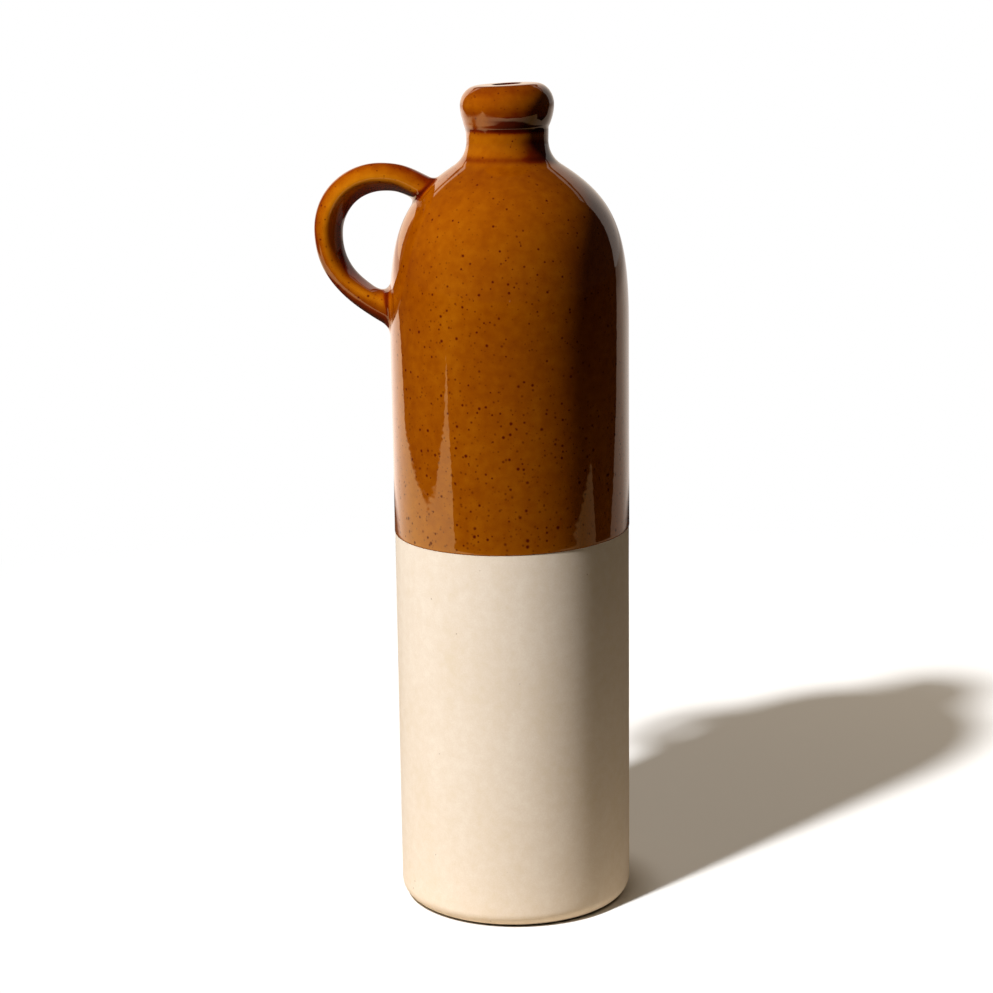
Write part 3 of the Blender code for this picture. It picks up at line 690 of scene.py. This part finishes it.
stageLook = dict(
    reach=40.0, paper=1.0, dark=0.02, white="#ffffff",
    # distances are metres from the middle of the foot
    fadeFrom=0.30, fadeTo=0.62,   # the lit paper fades out to plain white
    bounce=0.53, bounceTint="#fff0d8", bounceNear=0.05, bounceFar=0.42,   # light thrown back on the pot
    footBounce=0.2, footNear=0.046, footFar=0.065,
    # painted contact shadow on the paper under the foot: share of light left, on the left and further right
    paintedContactShadow=(0.75, 0.08), contactShadowSpan=(-0.034, -0.006), contactShadowFrom=0.0402, contactShadowTo=0.0424,
    paintedShadowLight=0.16, shadowLightTint="#fff3e2", shadowLightFrom=0.042, shadowLightTo=0.062,   # painted light: share of white mixed into the pot's shadow on the paper
    # painted reflection: where the glowing sheet ends, as the glaze shows it: degrees round from the camera,
    # distance
    sheet=((-180, 50), (-139, 50), (-138, 3.0), (-128, 1.45), (-122, 1.0), (-110.4, 0.876), (-103, 0.82),
           (-88, 0.75), (-77, 0.80), (-73.2, 0.903), (-66, 1.08), (-63.3, 1.38), (-62, 1.18), (-58.3, 0.84),
           (-56.8, 0.69), (-54, 0.63), (-35, 0.56), (0, 0.48), (35, 0.52), (57, 0.64), (65.2, 0.706),
           (73.2, 0.79), (81.5, 0.885), (84.1, 0.76), (87, 0.60), (107, 0.62), (114.5, 0.806), (122, 1.15),
           (125, 3.4), (127, 5.5), (128.3, 50), (180, 50)),
    sheetSoft=0.004, sheetShine=2.0, sheetBehind=0.5,
    sheetFall=((0.365, 0.04), (0.41, 1.0), (1.5, 1.0), (3.2, 0.55)),   # painted shade near the pot: distance, share of the shine
    # degrees round, colour, share of the shine
    sheetTone=((-180, "#fff0e6", 0.35), (-163, "#ffecdc", 0.9), (-150, "#ffe8d6", 1.0),
               (-128, "#ffdcb0", 1.0), (-110, "#ffdb98", 1.0), (-55, "#ffdb98", 1.0), (0, "#ffd2a0", 0.80),
               (35, "#ffcc98", 0.40), (70, "#ffb868", 0.26), (120, "#ffdcc0", 0.26), (133, "#ffe0c8", 0.30),
               (148, "#ffead8", 0.45), (165, "#fff0e6", 0.45), (180, "#fff0e6", 0.35)),
    ambient="#ffe6c4", ambientFront=0.03, ambientBack=0.45, ambientEdge=(-0.1, 0.95),
    # the backdrop as the glaze shows it, in shares of the way to it: its sides, its top and the slope of
    # that, how far the top hangs in the middle, and a bright line over it
    backdropSides=(-0.86, 1.31), backdropTop=0.72, backdropSlope=0.17, backdropSag=0.36, sagSpan=(0.05, 0.55),
    backdropSoft=0.012, backdropCorner=0.12, backdropNearest=0.01,
    backdropLine=((-0.24, 0.0), (-0.21, 0.9), (-0.11, 0.9), (-0.08, 0.0)), lineSpan=(-0.3, 0.0),
    backdropTint=("#ffe4c4", "#fff0e4"), backdropShine=(1.8, 0.5), shineSpan=(-0.6, 0.6),   # left, right
    # place in mm, watts and radius in mm
    clayLamp=((-901.0, -783.0, 1708.0), 270.0, 130.0), glazeLamp=((-477.0, -359.0, 640.0), 34.6, 32.0),
    loopLamp=((-470.0, -450.0, 750.0), 56.0, 32.0), floorLamp=((-384.0, -457.0, 854.0), 58.0, 32.0),
)


def turned(angle):
    return (angle + 180) / 360


def squeezed(distance):
    # so that a ramp from 0 to 1 can hold an edge that is far away
    return distance / (1 + distance)


def paperSeen(tree, where, away, axes):
    # the camera sees paper that evens out the near lamp, and plain white further off
    look = stageLook
    lampPlace, watts = Vector(look["floorLamp"][0]) * mm, look["floorLamp"][1]
    toLamp = addNode(tree, "ShaderNodeVectorMath", {"operation": "DISTANCE"}, i0=where, i1=lampPlace)
    evenness = look["paper"] * 4 * math.pi ** 2 / (watts * lampPlace.z)
    even = calc(tree, "MULTIPLY", calc(tree, "POWER", toLamp.outputs["Value"], 3.0), evenness)
    # painted contact shadow under the round of the foot, lighter on the left, where the lamp is
    contactShadowByX = mapped(tree, axes["X"], *look["contactShadowSpan"], *look["paintedContactShadow"])
    paintedContactShadow = mapped(tree, away, look["contactShadowFrom"], look["contactShadowTo"], contactShadowByX, 1.0, smooth=True)
    level = calc(tree, "MULTIPLY", even, paintedContactShadow)
    lit = addNode(tree, "ShaderNodeBsdfDiffuse",
                  Color=addNode(tree, "ShaderNodeCombineColor", Red=level, Green=level, Blue=level))
    plain, warmShadowLight = (addNode(tree, "ShaderNodeEmission", Color=linear(look[key]), Strength=1.0)
                   for key in ("white", "shadowLightTint"))
    fade = mapped(tree, away, look["fadeFrom"], look["fadeTo"], smooth=True)
    # painted light: a little white glow mixed into the paper from the foot out, so the pot's shadow is
    # lighter
    shadowLight = mapped(tree, away, look["shadowLightFrom"], look["shadowLightTo"], 0.0, look["paintedShadowLight"], smooth=True)
    paper = addNode(tree, "ShaderNodeMixShader", i0=shadowLight, i1=lit, i2=warmShadowLight)
    return addNode(tree, "ShaderNodeMixShader", i0=fade, i1=paper, i2=plain)


def paperMirrored(tree, away, axes):
    # painted reflection: glossy rays see the paper glow, up to twice white, as far as a shaped edge
    look = stageLook
    bearing = calc(tree, "ARCTAN2", axes["X"], calc(tree, "MULTIPLY", axes["Y"], -1.0))
    turn = mapped(tree, bearing, -math.pi, math.pi)
    edge = ramp(tree, turn, [(turned(angle), grey(squeezed(r))) for angle, r in look["sheet"]])
    past = calc(tree, "SUBTRACT", calc(tree, "DIVIDE", away, calc(tree, "ADD", away, 1.0)), edge)
    within = mapped(tree, past, -look["sheetSoft"], look["sheetSoft"], 1.0, look["dark"])
    tone = ramp(tree, turn, [(turned(angle), [level * part for part in linear(tint)[:3]] + [1.0])
                             for angle, tint, level in look["sheetTone"]])
    # painted shade: the glowing sheet is made dark close to the pot, out further behind it, where the pot
    # shades it, and dimmer far off
    behind = calc(tree, "MAXIMUM", axes["Y"], 0.0)
    clear = calc(tree, "MULTIPLY_ADD", behind, -look["sheetBehind"], away)
    clearShare = calc(tree, "DIVIDE", clear, calc(tree, "ADD", clear, 1.0))
    levels = [(squeezed(r), grey(share * look["sheetShine"])) for r, share in look["sheetFall"]]
    fall = ramp(tree, clearShare, levels)
    return addNode(tree, "ShaderNodeEmission", Color=tone, Strength=calc(tree, "MULTIPLY", within, fall))


def paperBounce(tree, away):
    # the pot gets light back only from the sheet close to it
    look = stageLook
    bounce = mapped(tree, away, look["bounceNear"], look["bounceFar"], look["bounce"], look["dark"],
                    smooth=True)
    atFoot = mapped(tree, away, look["footNear"], look["footFar"], look["footBounce"], 0.0)
    back = calc(tree, "ADD", bounce, atFoot)
    colour = mixed(tree, back, grey(0.0), linear(look["bounceTint"]))
    return addNode(tree, "ShaderNodeBsdfDiffuse", Color=colour)


def raySeen(tree):
    # rays that show the stage itself, and rays that glaze mirrors
    ray = addNode(tree, "ShaderNodeLightPath").outputs
    return calc(tree, "MAXIMUM", ray["Is Camera Ray"], ray["Is Transmission Ray"]), ray["Is Glossy Ray"]


def stageFloor():
    half = stageLook["reach"]
    mesh = bpy.data.meshes.new("floorSheet")
    corners = [(-half, -half, 0), (half, -half, 0), (half, half, 0), (-half, half, 0)]
    mesh.from_pydata(corners, [], [(0, 1, 2, 3)])
    floor = bpy.data.objects.new("floorSheet", mesh)
    bpy.context.scene.collection.objects.link(floor)
    material, tree = newMaterial("whitePaper")
    where = addNode(tree, "ShaderNodeTexCoord").outputs["Object"]
    away = addNode(tree, "ShaderNodeVectorMath", {"operation": "LENGTH"}, i0=where).outputs["Value"]
    axes = addNode(tree, "ShaderNodeSeparateXYZ", i0=where).outputs
    direct, glossy = raySeen(tree)
    indirect = addNode(tree, "ShaderNodeMixShader", i0=glossy, i1=paperBounce(tree, away),
                       i2=paperMirrored(tree, away, axes))
    seen = paperSeen(tree, where, away, axes)
    shader = addNode(tree, "ShaderNodeMixShader", i0=direct, i1=indirect, i2=seen)
    addNode(tree, "ShaderNodeOutputMaterial", Surface=shader)
    mesh.materials.append(material)
    return floor


def stageWorld():
    look = stageLook
    world = bpy.data.worlds.new("studio")
    bpy.context.scene.world = world
    world.use_nodes = True
    tree = world.node_tree
    tree.nodes.clear()
    toward = addNode(tree, "ShaderNodeTexCoord").outputs["Generated"]
    axes = addNode(tree, "ShaderNodeSeparateXYZ", i0=toward).outputs
    ambient = mapped(tree, axes["Y"], *look["ambientEdge"], look["ambientFront"], look["ambientBack"],
                     smooth=True)

    # how far a direction lies inside the backdrop's sides and under its top
    ahead = calc(tree, "MAXIMUM", axes["Y"], look["backdropNearest"])
    across = calc(tree, "DIVIDE", axes["X"], ahead)
    rise = calc(tree, "DIVIDE", axes["Z"], ahead)
    left, right = look["backdropSides"]
    fromLeft, fromRight = calc(tree, "SUBTRACT", across, left), calc(tree, "SUBTRACT", right, across)
    between = calc(tree, "MINIMUM", fromLeft, fromRight)
    hung = mapped(tree, calc(tree, "ABSOLUTE", across), *look["sagSpan"], smooth=True)
    height = calc(tree, "MULTIPLY_ADD", hung, look["backdropSag"], look["backdropTop"] - look["backdropSag"])
    below = calc(tree, "SUBTRACT", calc(tree, "MULTIPLY_ADD", across, look["backdropSlope"], height), rise)
    inside = calc(tree, "SMOOTH_MIN", between, below, look["backdropCorner"])
    soft = look["backdropSoft"]
    sheet = mapped(tree, inside, -soft, soft, look["dark"], 1.0)
    first, last = look["lineSpan"]
    levels = [((place - first) / (last - first), grey(level)) for place, level in look["backdropLine"]]
    line = ramp(tree, mapped(tree, below, first, last), levels)
    lined = calc(tree, "MULTIPLY", line, mapped(tree, between, -soft, soft, 0.0, hung))
    backdrop = calc(tree, "MAXIMUM", sheet, lined)
    sides = mapped(tree, axes["X"], *look["shineSpan"])
    level = addNode(tree, "ShaderNodeMix", i0=sides, i2=look["backdropShine"][0], i3=look["backdropShine"][1])
    shade = mixed(tree, sides, *(linear(code) for code in look["backdropTint"]))

    # the camera sees white, glaze mirrors the backdrop, and the rest is lit by the room
    seen, glossy = raySeen(tree)
    shine = calc(tree, "MULTIPLY", backdrop, level)
    reflected = addNode(tree, "ShaderNodeMix", i0=glossy, i2=ambient, i3=shine)
    strength = addNode(tree, "ShaderNodeMix", i0=seen, i2=reflected, i3=1.0)
    tint = mixed(tree, seen, mixed(tree, glossy, linear(look["ambient"]), shade), linear(look["white"]))
    light = addNode(tree, "ShaderNodeBackground", Color=tint, Strength=strength)
    addNode(tree, "ShaderNodeOutputWorld", Surface=light)


def stageLamps(floor):
    # one lamp for each kind of surface: the glaze and the loop take it from further round to the left
    lamps = dict(clayLamp=[clayBody], glazeLamp=[amberSkin, innerLiner], loopLamp=[fingerLoop],
                 floorLamp=[floor])
    for name, receivers in lamps.items():
        lamp = bpy.data.lights.new(name, "POINT")
        place, lamp.energy, radius = stageLook[name]
        lamp.shadow_soft_size = radius * mm
        key = bpy.data.objects.new(name, lamp)
        key.location = Vector(place) * mm
        key.visible_glossy = False  # the lamp itself leaves no spot in the glaze
        bpy.context.scene.collection.objects.link(key)
        lit = bpy.data.collections.new(name + "Lights")
        for receiver in receivers:
            lit.objects.link(receiver)
        key.light_linking.receiver_collection = lit


floorSheet = stageFloor()
stageWorld()
stageLamps(floorSheet)

# Camera: a short telephoto a little above the lip, 12 degrees down

shot = dict(lens=85.67, sensor=36.0, clip=(0.01, 200.0), place=(-5.67, -864.0, 343.2),
            pitch=12.32, roll=-0.77)

pitch, roll = math.radians(shot["pitch"]), math.radians(shot["roll"])
ahead = Vector((0, math.cos(pitch), -math.sin(pitch)))
level, upright = Vector((1, 0, 0)), Vector((0, math.sin(pitch), math.cos(pitch)))
right = level * math.cos(roll) + upright * math.sin(roll)
up = upright * math.cos(roll) - level * math.sin(roll)
lens = bpy.data.cameras.new("camera")
lens.lens, lens.sensor_width = shot["lens"], shot["sensor"]
lens.clip_start, lens.clip_end = shot["clip"]
camera = bpy.data.objects.new("camera", lens)
facing = Matrix((right, up, -ahead)).transposed().to_4x4()
camera.matrix_world = Matrix.Translation(Vector(shot["place"]) * mm) @ facing
bpy.context.scene.collection.objects.link(camera)
bpy.context.scene.camera = camera
bpy.context.scene.view_settings.view_transform = "Standard"
print("stage and camera set")
